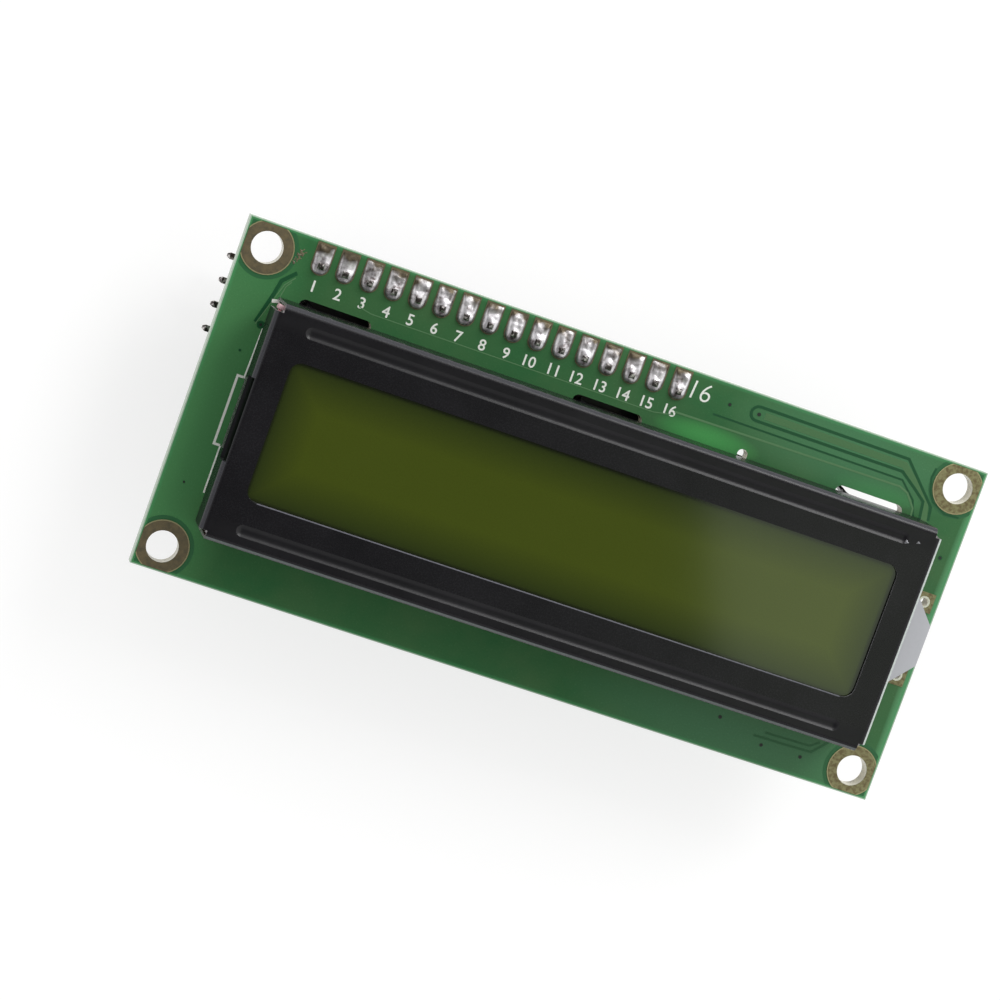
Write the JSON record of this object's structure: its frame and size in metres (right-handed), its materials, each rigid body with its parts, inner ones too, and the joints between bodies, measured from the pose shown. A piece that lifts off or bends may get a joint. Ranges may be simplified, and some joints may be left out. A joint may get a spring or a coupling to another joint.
{
  "type": "character lcd module",
  "caption": "Character display module: black folded bezel with an olive window on a green board, bus adapter with contrast trimmer on the pin row behind it.",
  "frame": {"origin": "centre of the four mounting holes on the front face of the main board", "axes": "+X along the pin row away from pin 1, +Y towards the header edge, +Z out of the display"},
  "size_m": [0.08, 0.036, 0.0172],
  "materials": {
    "board_green": "satin solder mask over glass fibre",
    "plated_gold": "dull gold plating",
    "bezel_black": "satin black coat on sheet steel",
    "polarizer_olive": "glossy film",
    "cell_glass": "clear",
    "zebra_rubber": "matt",
    "film_white": "matt film",
    "guide_clear": "clear acrylic",
    "tray_white": "moulded, matt",
    "lamp_yellow": "clear resin on a white strip",
    "tinned_metal": "tinned",
    "solder": "bright, slightly grainy solder",
    "epoxy_black": "semi-gloss epoxy",
    "moulding_black": "moulded",
    "adapter_black": "satin black solder mask",
    "trimmer_blue": "moulded, matt",
    "rotor_grey": "moulded, matt",
    "clip_brass": "spring brass",
    "led_white": "matt",
    "led_resin": "clear resin",
    "resistor_black": "glazed top",
    "capacitor_tan": "matt"
  },
  "bodies": {
    "module": {"main_board": "board_green", "mounting_lands": "plated_gold", "tab_lands": "plated_gold", "header_lands": "plated_gold", "backlight_lands": "plated_gold", "bezel": "bezel_black", "front_polarizer": "polarizer_olive", "front_glass": "cell_glass", "rear_glass": "cell_glass", "rear_polarizer": "polarizer_olive", "upper_zebra_strip": "zebra_rubber", "lower_zebra_strip": "zebra_rubber", "diffuser": "film_white", "light_guide": "guide_clear", "reflector": "film_white", "backlight_case": "tray_white", "backlight_leds": "lamp_yellow", "backlight_leads": "tinned_metal", "backlight_solder": "solder", "controller_domes": "epoxy_black", "board_resistors": "resistor_black", "board_resistor_ends": "solder", "header_pins": "tinned_metal", "header_spacer": "moulding_black", "front_solder": "solder", "rear_solder": "solder", "adapter_board": "adapter_black", "expander_body": "moulding_black", "expander_leads": "tinned_metal", "trimmer_body": "trimmer_blue", "trimmer_pins": "tinned_metal", "bus_header_base": "moulding_black", "bus_header_pins": "tinned_metal", "jumper_base": "moulding_black", "jumper_pins": "tinned_metal", "power_led_body": "led_white", "power_led_lens": "led_resin", "transistor_body": "moulding_black", "transistor_leads": "tinned_metal", "adapter_resistors": "resistor_black", "adapter_capacitor": "capacitor_tan", "adapter_chip_ends": "solder", "inner_solder": "solder"},
    "rotor": {"trimmer_rotor": "rotor_grey"},
    "jumper": {"jumper_cap": "moulding_black", "jumper_clip": "clip_brass"}
  },
  "joints": [
    {"name": "contrast_turn", "type": "hinge", "parent": "module", "child": "rotor", "pos_m": [-0.024, 0.0087, -0.0098], "axis": [0, 0, 1], "range_deg": [-105, 105]},
    {"name": "jumper_pull", "type": "slide", "parent": "module", "child": "jumper", "axis": [1, 0, 0], "range_m": [0, 0.008]}
  ]
}
